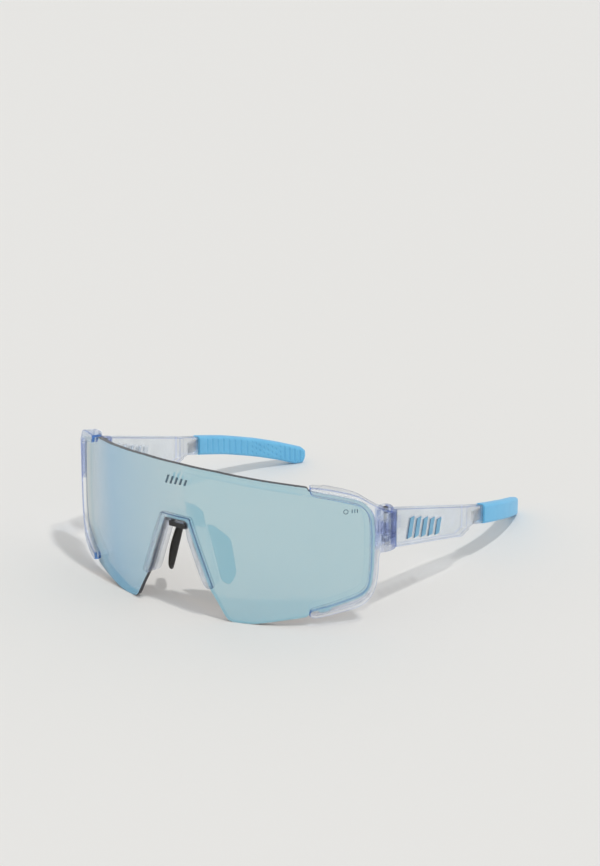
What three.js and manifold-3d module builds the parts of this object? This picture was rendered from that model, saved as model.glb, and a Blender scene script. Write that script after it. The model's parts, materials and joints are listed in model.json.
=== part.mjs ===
// Wraparound sport sunglasses with a one-piece shield lens, clear hooked frame,
// folding clear temples, blue rubber tips and black nose pads.
//
// Millimetres, +Z up. The origin is under the middle of the pair, on the surface
// it stands on. The lens faces -Y, the temples run back to +Y, and the wearer's
// left side is +X. Every "left" piece is modelled and its twin is mirrored.
//
// Front pieces are drawn flat, as (along the lens, height, forward), cut and
// joined there, and then bent onto the lens surface. Temple pieces are drawn in
// side view, as (along the temple, height, outward), and bent in plan.

import * as THREE from 'three';
import { mergeVertices } from 'three/addons/utils/BufferGeometryUtils.js';
import { TessellateModifier } from 'three/addons/modifiers/TessellateModifier.js';
import Module from 'manifold-3d';

const wasm = await Module();
wasm.setup();

// ---- Driving dimensions ----

// lens surface
const LENS_RADIUS = 88;
const LENS_CROWN_RADIUS = 600;
const LENS_MID_HEIGHT = 30;
const LENS_APEX_Y = -82.1;
const LENS_THICKNESS = 2.0;
const FIT_GAP = 0.3;

// front frame, measured forward of the lens front face
const LIP_FRONT = 1.5;
const FRAME_REAR = -5.2;
const GROOVE_REAR = -(LENS_THICKNESS + FIT_GAP);
const REAR_FLANGE_EXTRA = 1.5;
const LENS_GRIP = 1.6;
const POST_HALF_WIDTH = 2.0;
const CLIP_FRONT = 1.2;
const CLIP_REAR = -5.5;

// hinge
const HINGE_X = 66;
const HINGE_Y = -39.4;
const KNUCKLE_RADIUS = 2.8;
const KNUCKLE_RELIEF = 3.2;
const SLOT_RADIUS = 3.6;
const TONGUE_BOTTOM = 34;
const TONGUE_TOP = 39;
const HINGE_PLAY = 0.3;
const BUTT_Y = -39.5;
const BUTT_GAP = 0.4;
const LUG_TOP = 43.7;
const LUG_BOTTOM = 29.2;
const LUG_PEAK = 46.4;
const SCREW_HEAD_RADIUS = 1.3;
const SCREW_HEAD_HEIGHT = 1.1;
const SCREW_SHAFT_RADIUS = 0.75;
const SCREW_TOP = 43.5;
const SCREW_BOTTOM = 30.9;
const NUT_RADIUS = 1.5;
const NUT_BOTTOM = 29.6;
const NUT_TOP = 32.1;
const SMALL_GAP = 0.15;

// temples
const TEMPLE_OUTER_X = 71;
const TEMPLE_BEND_START = 20;
const TEMPLE_BEND_RADIUS = 115;
const PANEL_THICKNESS = 4.2;
const PANEL_END = 14.3;
const PANEL_FRONT_LOW = 28.2;
const STEM_OUTER = -0.6;
const STEM_INNER = -3.7;
const STEM_END = 24.8;
const SLEEVE_START = 25.2;
const SLEEVE_INNER = -4.3;
const CORE_HALF_THICKNESS = 0.45;

// five graded slanted bars on the temple panel, a plain ornament
const BADGE = {
  bars: 5,
  first: -29.6,
  pitch: 4.9,
  width: 2.9,
  slant: 2.1,
  centre: 33.1,
  fall: 0.3,
  tallest: 7.8,
  shrink: 0.45,
  spineHalf: 0.7,
};

// toothed end of the tip core, inside the temple stem
const ANCHOR = { start: 18.6, end: 24.6, low: 18.6, high: 23.4, middle: -2.15, teeth: 4 };

// nose strap: a bar across the clip and two arms going back
const STRAP_BOTTOM = 34.0;
const STRAP_TOP = 36.5;
const STRAP_FRONT_Y = -81.2;
const STRAP_BACK_Y = -79.2;
const STRAP_SKIN = 0.55;
const STRAP_CORE_INSET = 0.7;
const ARM_OUTER = 4.3;
const ARM_INNER = 2.6;
const FLARE_START_Y = -76.3;
const ARM_END_Y = -72.6;
const ARM_END_OUTER = 6.4;
const ARM_END_INNER = 4.4;
const ARCH_FRONT = -5.6;
const ARCH_REAR = -7.0;

// nose pads
const PAD_CENTRE = new THREE.Vector3(10.6, -67.7, 20.6);
const PAD_ACROSS = new THREE.Vector3(0.5, 0.866, 0);
const PAD_UP = new THREE.Vector3(-0.2, 0.1155, 0.973);
const PAD_THICKNESS = 2.6;
const PAD_WIRE = { across: -0.9, lean: 0.13, width: 1.3, bottom: -3.8, top: 11.2 };

// longest edge before bending; bigger than any straight piece
const TESSELLATION = 9;
const COARSE = 60;

// how far a cutting tool reaches past what it cuts
const BEYOND = 1;

const FINISHES = {
  clearFrame: { color: 0xd4dbe2, roughness: 0.12, metalness: 0, opacity: 0.45 },
  lens: { color: 0x95b9c8, roughness: 0.06, metalness: 0.4, opacity: 0.75 },
  blackRubber: { color: 0x24231f, roughness: 0.7, metalness: 0 },
  blueRubber: { color: 0x5fb9e6, roughness: 0.65, metalness: 0 },
  blueMark: { color: 0x74accb, roughness: 0.4, metalness: 0 },
  steel: { color: 0x9aa0a6, roughness: 0.35, metalness: 1 },
};

// ---- Solids: closed meshes joined and cut ----

function solid(geometry) {
  const bare = geometry.clone();
  bare.deleteAttribute('normal');
  bare.deleteAttribute('uv');
  const merged = mergeVertices(bare, 1e-4);
  const mesh = new wasm.Mesh({
    numProp: 3,
    vertProperties: new Float32Array(merged.attributes.position.array),
    triVerts: new Uint32Array(merged.index.array),
  });
  return new wasm.Manifold(mesh);
}

function geometryOf(manifold) {
  const mesh = manifold.getMesh();
  const geometry = new THREE.BufferGeometry();
  geometry.setAttribute('position', new THREE.BufferAttribute(new Float32Array(mesh.vertProperties), 3));
  geometry.setIndex(new THREE.BufferAttribute(new Uint32Array(mesh.triVerts), 1));
  return geometry;
}

function join(...solids) {
  return solids.reduce((whole, next) => whole.add(next));
}

function cut(whole, ...tools) {
  return tools.reduce((left, tool) => left.subtract(tool), whole);
}

function mirroredGeometry(geometry) {
  const mirrored = geometry.clone();
  mirrored.scale(-1, 1, 1);
  const index = mirrored.index.array;
  for (let i = 0; i < index.length; i += 3) {
    const first = index[i];
    index[i] = index[i + 2];
    index[i + 2] = first;
  }
  return mirrored;
}

function mirroredSolid(manifold) {
  return solid(mirroredGeometry(geometryOf(manifold)));
}

// ---- Outlines ----

// Corners are [x, y] or [x, y, radius]; a rounded corner becomes a short curve.
function outline(corners) {
  const steps = 3;
  const points = [];
  corners.forEach(([x, y, radius = 0], i) => {
    const corner = new THREE.Vector2(x, y);
    if (radius === 0) {
      points.push(corner);
      return;
    }
    const before = corners[(i + corners.length - 1) % corners.length];
    const after = corners[(i + 1) % corners.length];
    const start = new THREE.Vector2(before[0] - x, before[1] - y).setLength(radius).add(corner);
    const end = new THREE.Vector2(after[0] - x, after[1] - y).setLength(radius).add(corner);
    const curve = new THREE.QuadraticBezierCurve(start, corner, end);
    points.push(...curve.getPoints(steps));
  });
  return points;
}

function pairs(points) {
  return points.map((point) => [point.x, point.y]);
}

// The path moved sideways: to its left when the distance is positive.
function offsetPath(corners, distance, closed = false) {
  const last = corners.length - 1;
  return corners.map(([x, y], i) => {
    const before = corners[i === 0 ? (closed ? last : 0) : i - 1];
    const after = corners[i === last ? (closed ? 0 : last) : i + 1];
    const incoming = new THREE.Vector2(x - before[0], y - before[1]).normalize();
    const outgoing = new THREE.Vector2(after[0] - x, after[1] - y).normalize();
    const along = incoming.clone().add(outgoing).normalize();
    const edge = incoming.lengthSq() > 0 ? incoming : outgoing;
    const stretch = 1 / Math.max(0.5, along.dot(edge));
    return [x - along.y * distance * stretch, y + along.x * distance * stretch];
  });
}

function mirroredCorners(corners) {
  return corners.map(([x, y, radius = 0]) => [-x, y, radius]).reverse();
}

// A prism of the outline, between two levels of the third axis.
function prism(corners, low, high) {
  const geometry = new THREE.ExtrudeGeometry(new THREE.Shape(outline(corners)), {
    depth: high - low,
    bevelEnabled: false,
    curveSegments: 6,
  });
  geometry.translate(0, 0, low);
  return solid(geometry);
}

function block(x0, x1, y0, y1, z0, z1) {
  const geometry = new THREE.BoxGeometry(x1 - x0, y1 - y0, z1 - z0);
  geometry.translate((x0 + x1) / 2, (y0 + y1) / 2, (z0 + z1) / 2);
  return solid(geometry);
}

// An upright cylinder about a vertical line.
function post(x, y, radius, bottom, top, sides = 16) {
  const geometry = new THREE.CylinderGeometry(radius, radius, top - bottom, sides);
  geometry.rotateX(Math.PI / 2);
  geometry.translate(x, y, (top + bottom) / 2);
  return solid(geometry);
}

// ---- Bending ----

function bent(manifold, place, edgeLength = TESSELLATION) {
  const cutter = new TessellateModifier(edgeLength, 12);
  const fine = mergeVertices(cutter.modify(geometryOf(manifold).toNonIndexed()), 1e-4);
  const position = fine.attributes.position;
  const point = new THREE.Vector3();
  for (let i = 0; i < position.count; i += 1) {
    place(point.fromBufferAttribute(position, i));
    position.setXYZ(i, point.x, point.y, point.z);
  }
  return solid(fine);
}

// (along the lens, height, forward) to the lens surface.
function ontoLens(point) {
  const angle = point.x / LENS_RADIUS;
  const rise = point.y - LENS_MID_HEIGHT;
  const crown = LENS_CROWN_RADIUS - Math.sqrt(LENS_CROWN_RADIUS ** 2 - rise ** 2);
  const radius = LENS_RADIUS + point.z - crown;
  const height = point.y;
  point.set(radius * Math.sin(angle), LENS_APEX_Y + LENS_RADIUS - radius * Math.cos(angle), height);
}

// (along the temple, height, outward) to the left temple's place.
function ontoTemple(point) {
  const past = Math.max(0, point.x - TEMPLE_BEND_START) / TEMPLE_BEND_RADIUS;
  const radius = TEMPLE_BEND_RADIUS + point.z;
  const centre = TEMPLE_OUTER_X - TEMPLE_BEND_RADIUS;
  const start = Math.min(point.x, TEMPLE_BEND_START);
  point.set(centre + radius * Math.cos(past), start + radius * Math.sin(past), point.y);
}

// ---- Front outlines, right half of the flat drawing (wearer's left) ----

const HOOK_INNER_EDGE = [
  [53.8, 52.9], [62.7, 50.9], [69.8, 49.0], [72.2, 47.9], [74.2, 46.4], [75.8, 43.3], [76.3, 37.0],
  [76.2, 29.1], [76.0, 23.0], [75.3, 16.7], [74.1, 14.4], [71.9, 12.8], [66.5, 11.1], [61.0, 9.3],
  [53.7, 7.4],
];
const HOOK_OUTER_EDGE = [
  [53.0, 5.0], [54.5, 4.1], [56.3, 4.1], [63.4, 5.8], [68.5, 7.0], [72.1, 8.1], [74.7, 9.6],
  [76.8, 12.0], [78.2, 15.3], [79.0, 19.4], [79.4, 28.2], [80.4, 30.1], [82.6, 30.5], [82.6, 45.8],
  [80.0, 46.7], [78.0, 47.9], [75.2, 49.7], [73.1, 51.2], [70.9, 52.5], [66.5, 54.0], [59.9, 55.6],
  [54.0, 56.5], [53.0, 55.8],
];
const LENS_TOP_EDGE = [
  [16.7, 59.3], [30.2, 58.2], [45.2, 56.7], [52.4, 55.8], [52.8, 54.5],
];
const LENS_LOW_EDGE = [
  [61.2, 6.8], [57.2, 5.7], [56.8, 6.9], [54.4, 6.4], [53.2, 5.3], [52.4, 4.1], [44.2, 2.6],
  [34.5, 0.6], [31.2, 0], [24.2, 0], [22.3, 0.4], [21.1, 1.5], [17.8, 7.2], [14.6, 12.3],
];
const NOSE_CUT_TOP = [4.9, 37.9, 1.6];

function lensHalf() {
  const gripped = offsetPath(HOOK_INNER_EDGE, LENS_GRIP).slice(1, -1);
  return [...LENS_TOP_EDGE, ...gripped, ...LENS_LOW_EDGE, NOSE_CUT_TOP];
}

// The whole lens outline, anticlockwise, grown outward on every side.
function lensOutline(grown = 0) {
  const half = lensHalf();
  const whole = [...half, ...mirroredCorners(half), [0, 59.7]].reverse();
  return offsetPath(pairs(outline(whole)), -grown, true);
}

function makeLens() {
  return bent(prism(lensOutline(), -LENS_THICKNESS, 0), ontoLens);
}

// ---- Front frame ----

function hookSolid() {
  const front = [...HOOK_OUTER_EDGE, ...HOOK_INNER_EDGE];
  const flange = offsetPath(HOOK_INNER_EDGE, -REAR_FLANGE_EXTRA);
  const rear = [...HOOK_OUTER_EDGE, ...flange];
  const lip = prism(front, GROOVE_REAR - FIT_GAP, LIP_FRONT);
  const back = prism(rear, FRAME_REAR, GROOVE_REAR - 0.1);
  return join(lip, back);
}

function browBar() {
  const top = [[0, 57.9], [16.6, 57.6], [29.8, 56.5], [45, 55.0], [58, 53.0]];
  const low = [[58, 50.9], [39.2, 53.2], [29.6, 54.2], [18.3, 55.1], [3, 55.5]];
  const half = [...top, ...low];
  const left = mirroredCorners(half.slice(1));
  return prism([...left, ...half].reverse(), FRAME_REAR + 0.4, GROOVE_REAR - 0.1);
}

// The centre post, filleted into the bar above and the saddle below it.
function bridgeSaddle() {
  const half = [
    [4.6, 56.4], [2.6, 55.0], [POST_HALF_WIDTH, 53.0], [POST_HALF_WIDTH, 45.0], [2.6, 44.3],
    [5.2, 43.7], [8.4, 42.5, 1.6], [10.0, 40.3], [12.2, 35.6], [15.2, 23], [17.4, 14.8, 1.4],
    [15.6, 13.0], [14.6, 12.8], NOSE_CUT_TOP,
  ];
  return prism([...half, ...mirroredCorners(half)].reverse(), FRAME_REAR, GROOVE_REAR - 0.1);
}

// The block that carries the hinge fork, in its real place.
function hingeLug() {
  const rear = BUTT_Y - BUTT_GAP;
  const plan = [
    [69.6, -50.2], [71.6, -47.8], [72.6, -45.6], [72.9, -43.2], [71.4, rear], [HINGE_X, rear],
    [63.6, -41.0], [64.6, -43.6], [66.0, -46.6],
  ];
  const body = prism(plan, LUG_BOTTOM, LUG_PEAK);
  const knuckle = post(HINGE_X, HINGE_Y, KNUCKLE_RADIUS, LUG_BOTTOM, LUG_TOP);
  return cut(join(body, knuckle), aboveLug());
}

// The space over the lug: its top climbs forward to meet the hook.
function aboveLug() {
  const side = [
    [-62, 52], [-48.6, 45.75], [-45.5, 44.6], [-42.5, 43.75], [-30, LUG_TOP], [-30, 60], [-62, 60],
  ];
  const geometry = new THREE.ExtrudeGeometry(new THREE.Shape(outline(side)), {
    depth: 40,
    bevelEnabled: false,
  });
  geometry.rotateZ(Math.PI / 2);
  geometry.rotateY(Math.PI / 2);
  geometry.translate(50, 0, 0);
  return solid(geometry);
}

// The slot for the temple's tongue, the screw's bore and seat, and the nut's pocket.
function forkCuts() {
  const low = TONGUE_BOTTOM - HINGE_PLAY;
  const high = TONGUE_TOP + HINGE_PLAY;
  const slot = join(
    post(HINGE_X, HINGE_Y, SLOT_RADIUS, low, high, 24),
    block(HINGE_X - 6, HINGE_X, HINGE_Y - 2.0, HINGE_Y + 6, low, high),
    block(HINGE_X, HINGE_X + 6, BUTT_Y - 1.2, HINGE_Y + 6, low, high),
  );
  const under = LUG_BOTTOM - BEYOND;
  const over = LUG_TOP + BEYOND;
  const bore = post(HINGE_X, HINGE_Y, SCREW_SHAFT_RADIUS + SMALL_GAP, under, over);
  const headBottom = SCREW_TOP - SCREW_HEAD_HEIGHT - SMALL_GAP;
  const headSeat = post(HINGE_X, HINGE_Y, SCREW_HEAD_RADIUS + SMALL_GAP, headBottom, over);
  const nutPocket = post(HINGE_X, HINGE_Y, NUT_RADIUS + SMALL_GAP, under, NUT_TOP + SMALL_GAP, 6);
  return [slot, bore, headSeat, nutPocket];
}

function makeFrontFrame() {
  const groove = prism(lensOutline(FIT_GAP), GROOVE_REAR, FIT_GAP);
  const hook = cut(hookSolid(), groove);
  const hooks = join(hook, mirroredSolid(hook));
  const flat = join(cut(join(hooks, browBar()), groove), bridgeSaddle());
  const curved = bent(flat, ontoLens);
  const lug = hingeLug();
  const whole = join(curved, lug, mirroredSolid(lug));
  const cuts = forkCuts();
  return cut(whole, ...cuts, ...cuts.map(mirroredSolid), ...templeSweepCuts());
}

// The hinge side of the frame stays clear of the swinging temple end.
function templeSweepCuts() {
  const low = LUG_BOTTOM - 10;
  const high = LUG_PEAK + 10;
  const behind = block(HINGE_X - 4, HINGE_X + 14, BUTT_Y - BUTT_GAP, BUTT_Y + 20, low, high);
  const knuckle = post(HINGE_X, HINGE_Y, KNUCKLE_RADIUS + 0.01, low, high);
  const space = cut(behind, knuckle);
  return [space, mirroredSolid(space)];
}

// ---- Nose clip, strap and pads ----

const CLIP_INNER_HALF = [[13.2, 12.6], [11.5, 15.7], [5.7, 31.4], [4.65, 36.9, 0.6]];
const CLIP_OUTER_HALF = [[6.7, 39.6, 2.2], [16.4, 13.6, 0.8], [15.9, 12.6]];

function makeNoseClip() {
  const half = [...CLIP_OUTER_HALF, ...CLIP_INNER_HALF];
  const band = prism([...half, ...mirroredCorners(half)].reverse(), CLIP_REAR, CLIP_FRONT);
  const behindLip = prism(lensOutline(FIT_GAP), CLIP_REAR - 1, FIT_GAP);
  return bent(cut(band, behindLip), ontoLens);
}

// A U in plan: the bar across the clip and the two arms that carry the pads.
function strapPlan(inset) {
  const half = [
    [0, STRAP_FRONT_Y + inset], [ARM_OUTER - 0.4 - inset, STRAP_FRONT_Y + inset],
    [ARM_OUTER - inset, STRAP_BACK_Y + inset], [ARM_OUTER - inset, FLARE_START_Y],
    [ARM_END_OUTER - inset, ARM_END_Y - inset / 3], [ARM_END_INNER + inset, ARM_END_Y - inset / 3],
    [ARM_INNER + inset, FLARE_START_Y + 0.6], [ARM_INNER + inset, STRAP_BACK_Y - inset],
    [0, STRAP_BACK_Y - inset],
  ];
  return [...half, ...mirroredCorners(half.slice(1, -1))];
}

// The thin arch that stands on the strap, behind the saddle.
function strapArch() {
  const half = [[4.6, 42.2, 1.0], [8.4, 40.2, 1.0], [9.6, 34.4], [3.0, 34.4], [3.0, 38.5]];
  const plate = prism([...half, ...mirroredCorners(half)].reverse(), ARCH_REAR, ARCH_FRONT);
  return bent(plate, ontoLens);
}

// The rubber strap, with a channel for its core that opens at the ends of the arms.
function makeNoseStrap() {
  const low = STRAP_BOTTOM + STRAP_SKIN + SMALL_GAP;
  const high = STRAP_TOP - STRAP_SKIN - SMALL_GAP;
  const inner = ARM_END_INNER + STRAP_SKIN;
  const outer = ARM_END_OUTER + BEYOND;
  const whole = prism(strapPlan(0), STRAP_BOTTOM, STRAP_TOP);
  const channel = prism(strapPlan(STRAP_SKIN), low, high);
  const opening = block(inner, outer, ARM_END_Y - STRAP_SKIN, ARM_END_Y + BEYOND, low, high);
  return cut(join(whole, strapArch()), channel, opening, mirroredSolid(opening));
}

function makeStrapCore() {
  const low = STRAP_BOTTOM + STRAP_CORE_INSET + SMALL_GAP;
  const high = STRAP_TOP - STRAP_CORE_INSET - SMALL_GAP;
  return prism(strapPlan(STRAP_CORE_INSET), low, high);
}

// (across, up, towards the nose) to the left pad's place.
function ontoPad(point) {
  const facing = new THREE.Vector3().crossVectors(PAD_ACROSS, PAD_UP);
  const { x, y, z } = point;
  point.copy(PAD_CENTRE);
  point.addScaledVector(PAD_ACROSS, x);
  point.addScaledVector(PAD_UP, y);
  point.addScaledVector(facing, z);
}

const PAD_OUTLINE = [
  [-4.4, 13.0, 1.6], [-1.2, 11.6, 1.5], [4.4, 6.0, 2.2],
  [5.4, -8.0, 2.4], [2.4, -12.2, 2.0], [-1.0, -9.6, 1.6],
];

// The wire in the pad and, grown, the pocket that holds it.
function padWire(grown, top) {
  const half = CORE_HALF_THICKNESS + grown;
  const bottom = PAD_WIRE.bottom - grown;
  const reach = PAD_WIRE.width / 2 + grown;
  const lower = PAD_WIRE.across - PAD_WIRE.lean * bottom;
  const upper = PAD_WIRE.across - PAD_WIRE.lean * top;
  const side = [[lower - reach, bottom], [lower + reach, bottom], [upper + reach, top], [upper - reach, top]];
  return prism(side, -half, half);
}

function makeNosePad() {
  const half = PAD_THICKNESS / 2;
  const pad = prism([...PAD_OUTLINE].reverse(), -half, half);
  return bent(cut(pad, padWire(SMALL_GAP, 14)), ontoPad, COARSE);
}

function makePadCore() {
  return bent(padWire(0, PAD_WIRE.top), ontoPad, COARSE);
}

// ---- Hinge hardware ----

function makeScrew() {
  const headBottom = SCREW_TOP - SCREW_HEAD_HEIGHT;
  const profile = [
    [0, SCREW_BOTTOM], [SCREW_SHAFT_RADIUS - 0.2, SCREW_BOTTOM], [SCREW_SHAFT_RADIUS, SCREW_BOTTOM + 0.3],
    [SCREW_SHAFT_RADIUS, headBottom], [SCREW_HEAD_RADIUS, headBottom],
    [SCREW_HEAD_RADIUS, SCREW_TOP - 0.3], [SCREW_HEAD_RADIUS - 0.3, SCREW_TOP], [0, SCREW_TOP],
  ].map(([radius, height]) => new THREE.Vector2(radius, height));
  const geometry = new THREE.LatheGeometry(profile, 16);
  geometry.rotateX(Math.PI / 2);
  const turned = solid(geometry);
  const recess = SCREW_TOP - 0.6;
  const slot = block(-0.9, 0.9, -0.16, 0.16, recess, SCREW_TOP + BEYOND);
  const crossSlot = block(-0.16, 0.16, -0.9, 0.9, recess, SCREW_TOP + BEYOND);
  return cut(turned, slot, crossSlot).translate([HINGE_X, HINGE_Y, 0]);
}

function makeNut() {
  const body = post(HINGE_X, HINGE_Y, NUT_RADIUS, NUT_BOTTOM, NUT_TOP, 6);
  const bore = post(HINGE_X, HINGE_Y, SCREW_SHAFT_RADIUS + SMALL_GAP, NUT_BOTTOM - BEYOND, NUT_TOP + BEYOND);
  return cut(body, bore);
}

// ---- Temples ----

function badgeBar(index, grown, low, high) {
  const x = BADGE.first + index * BADGE.pitch;
  const middle = BADGE.centre - (x - BADGE.first) * BADGE.fall;
  const half = (BADGE.tallest - index * BADGE.shrink) / 2;
  const lean = (BADGE.slant * half) / BADGE.tallest;
  const width = BADGE.width / 2 + grown;
  const bar = [
    [x - width - lean, middle - half - grown], [x + width - lean, middle - half - grown],
    [x + width + lean, middle + half + grown], [x - width + lean, middle + half + grown],
  ];
  return prism(bar, low, high);
}

// The bars, and the sunk spine that holds them together.
function badgeSolid(grown, low, high, spineHigh) {
  const bars = Array.from({ length: BADGE.bars }, (_, index) => badgeBar(index, grown, low, high));
  const length = (BADGE.bars - 1) * BADGE.pitch;
  const half = BADGE.spineHalf + grown;
  const endCentre = BADGE.centre - length * BADGE.fall;
  const spine = [
    [BADGE.first, BADGE.centre - half],
    [BADGE.first + length, endCentre - half],
    [BADGE.first + length, endCentre + half],
    [BADGE.first, BADGE.centre + half],
  ];
  return join(...bars, prism(spine, low, spineHigh));
}

function makeBadge() {
  return bent(badgeSolid(0, -0.75, 0.4, -0.35), ontoTemple, COARSE);
}

// A flat steel comb with its teeth up.
function makeAnchor() {
  const pitch = (ANCHOR.end - ANCHOR.start - 0.6) / ANCHOR.teeth;
  const comb = [[ANCHOR.end, ANCHOR.low], [ANCHOR.end, ANCHOR.high]];
  for (let tooth = ANCHOR.teeth - 1; tooth >= 0; tooth -= 1) {
    const x = ANCHOR.start + tooth * pitch;
    comb.push([x + pitch * 0.9, ANCHOR.high]);
    comb.push([x + pitch * 0.5, ANCHOR.low + 1.6]);
    comb.push([x + pitch * 0.1, ANCHOR.high]);
  }
  comb.push([ANCHOR.start, ANCHOR.low]);
  const { middle } = ANCHOR;
  return bent(prism(comb, middle - CORE_HALF_THICKNESS, middle + CORE_HALF_THICKNESS), ontoTemple, COARSE);
}

// The pocket in the stem that the comb sits in, open at the stem's end.
function anchorPocket() {
  const half = CORE_HALF_THICKNESS + SMALL_GAP;
  const start = ANCHOR.start - SMALL_GAP;
  const end = STEM_END + BEYOND;
  const low = ANCHOR.low - SMALL_GAP;
  const high = ANCHOR.high + SMALL_GAP;
  const pocket = [[start, low], [end, low], [end, high], [start, high]];
  return prism(pocket, ANCHOR.middle - half, ANCHOR.middle + half);
}

function panelSolid() {
  const side = [
    [BUTT_Y, PANEL_FRONT_LOW], [-5.6, 20.7], [8.6, 17.0, 1.5], [PANEL_END, 18.0], [PANEL_END, 27.3],
    [-6, 33.5], [BUTT_Y, LUG_TOP],
  ];
  return prism(side, -PANEL_THICKNESS, 0);
}

function stemSolid() {
  const start = PANEL_END - 3;
  const side = [[start, 17.6], [17.6, 18.6], [STEM_END, 16.7], [STEM_END, 24.3], [start, 28.2]];
  return prism(side, STEM_INNER, STEM_OUTER);
}

// The bevel where the thick panel drops to the thinner stem.
function stepBevel() {
  const start = PANEL_END - 1;
  const end = PANEL_END + BEYOND;
  const plan = [[start, 1], [end, 1], [end, STEM_OUTER], [PANEL_END, STEM_OUTER], [start, 0]];
  const geometry = new THREE.ExtrudeGeometry(new THREE.Shape(outline(plan)), {
    depth: 30,
    bevelEnabled: false,
  });
  geometry.rotateX(Math.PI / 2);
  geometry.translate(0, 40, 0);
  return solid(geometry);
}

function hingeTongue() {
  const plan = [
    [HINGE_X - KNUCKLE_RADIUS, HINGE_Y], [HINGE_X + 4, HINGE_Y - 0.1], [TEMPLE_OUTER_X - 0.8, HINGE_Y + 1],
    [TEMPLE_OUTER_X - 0.8, HINGE_Y + 10], [TEMPLE_OUTER_X - PANEL_THICKNESS + 0.3, HINGE_Y + 10],
    [HINGE_X + 0.6, HINGE_Y + 6],
  ];
  const web = prism(plan, TONGUE_BOTTOM, TONGUE_TOP);
  return join(web, post(HINGE_X, HINGE_Y, KNUCKLE_RADIUS, TONGUE_BOTTOM, TONGUE_TOP, 24));
}

function makeTemple() {
  const panel = cut(panelSolid(), stepBevel());
  const badgeSeat = badgeSolid(SMALL_GAP, -0.9, 1, -0.2);
  const arm = cut(join(panel, stemSolid()), badgeSeat, anchorPocket());
  const curved = bent(arm, ontoTemple, 12);
  const reliefAbove = post(HINGE_X, HINGE_Y, KNUCKLE_RELIEF, TONGUE_TOP, LUG_TOP + 2, 24);
  const reliefBelow = post(HINGE_X, HINGE_Y, KNUCKLE_RELIEF, LUG_BOTTOM - 2, TONGUE_BOTTOM, 24);
  const withTongue = join(cut(curved, reliefAbove, reliefBelow), hingeTongue());
  const boreRadius = SCREW_SHAFT_RADIUS + SMALL_GAP;
  return cut(withTongue, post(HINGE_X, HINGE_Y, boreRadius, TONGUE_BOTTOM - BEYOND, TONGUE_TOP + BEYOND));
}

// ---- Rubber tips ----

const SLEEVE_OUTLINE = [
  [SLEEVE_START, 16.3], [79.2, 0], [82.8, 0, 0.8], [84.5, 2.1, 1.0],
  [84.6, 5.0, 1.1], [82.9, 6.6, 1.1], [SLEEVE_START, 24.6],
];
const CORE_SIDE = [[25.6, 19.2], [66, 6.7], [66, 8.9], [25.6, 21.4]];
const CORE_POCKET_SIDE = [[20, 20.93], [66.2, 6.64], [66.2, 8.84], [20, 23.13]];

function makeSleeve() {
  const body = prism(SLEEVE_OUTLINE, SLEEVE_INNER, 0);
  const pocketSide = offsetPath(CORE_POCKET_SIDE, -SMALL_GAP, true);
  const half = CORE_HALF_THICKNESS + SMALL_GAP;
  const pocket = prism(pocketSide, ANCHOR.middle - half, ANCHOR.middle + half);
  return bent(cut(body, pocket), ontoTemple);
}

function makeTipCore() {
  const half = CORE_HALF_THICKNESS;
  return bent(prism(CORE_SIDE, ANCHOR.middle - half, ANCHOR.middle + half), ontoTemple);
}

// ---- The assembly ----

function material(finish) {
  const { color, roughness, metalness, opacity = 1 } = FINISHES[finish];
  return new THREE.MeshStandardMaterial({ color, roughness, metalness, opacity, transparent: opacity < 1 });
}

const glasses = new THREE.Group();

function addPiece(name, manifold, finish) {
  const mesh = new THREE.Mesh(geometryOf(manifold), material(finish));
  mesh.name = name;
  glasses.add(mesh);
}

function addPair(name, manifold, finish) {
  addPiece(`${name}_left`, manifold, finish);
  addPiece(`${name}_right`, mirroredSolid(manifold), finish);
}

addPiece('front_frame', makeFrontFrame(), 'clearFrame');
addPiece('lens', makeLens(), 'lens');
addPiece('nose_clip', makeNoseClip(), 'clearFrame');
addPiece('nose_strap', makeNoseStrap(), 'blackRubber');
addPiece('nose_strap_core', makeStrapCore(), 'steel');
addPair('nose_pad', makeNosePad(), 'blackRubber');
addPair('nose_pad_core', makePadCore(), 'steel');
addPair('hinge_screw', makeScrew(), 'steel');
addPair('hinge_nut', makeNut(), 'steel');
addPair('temple', makeTemple(), 'clearFrame');
addPair('badge', makeBadge(), 'blueMark');
addPair('core_anchor', makeAnchor(), 'steel');
addPair('sleeve', makeSleeve(), 'blueRubber');
addPair('tip_core', makeTipCore(), 'steel');

export default glasses;
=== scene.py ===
import json
import math

import bmesh
import bpy
import numpy as np
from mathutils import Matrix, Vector


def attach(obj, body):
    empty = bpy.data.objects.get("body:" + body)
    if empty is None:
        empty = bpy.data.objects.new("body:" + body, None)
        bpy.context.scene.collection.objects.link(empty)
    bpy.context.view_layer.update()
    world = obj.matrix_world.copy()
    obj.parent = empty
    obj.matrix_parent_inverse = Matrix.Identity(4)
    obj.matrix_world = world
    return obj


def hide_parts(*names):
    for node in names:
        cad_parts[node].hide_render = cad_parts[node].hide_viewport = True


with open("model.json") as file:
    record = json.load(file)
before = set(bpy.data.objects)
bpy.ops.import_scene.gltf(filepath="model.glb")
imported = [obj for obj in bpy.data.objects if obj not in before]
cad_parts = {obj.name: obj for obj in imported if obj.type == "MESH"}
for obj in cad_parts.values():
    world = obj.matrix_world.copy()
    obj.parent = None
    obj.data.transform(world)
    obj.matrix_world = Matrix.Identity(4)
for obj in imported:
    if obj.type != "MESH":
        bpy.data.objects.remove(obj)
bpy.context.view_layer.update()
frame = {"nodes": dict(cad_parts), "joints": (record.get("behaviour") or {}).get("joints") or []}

# Wraparound sport sunglasses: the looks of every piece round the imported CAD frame.
#
# Pieces are modelled in millimetres and scaled to metres when they are done. Front pieces
# are drawn flat, as (along the lens, height, forward), and bent onto the lens surface.
# Temple pieces are drawn as (along the temple, height, outward) and bent in plan. Left
# pieces are modelled, and their twins are mirrored.

MM = 0.001

# ---- Dimensions shared with the CAD model, in millimetres ----


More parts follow.
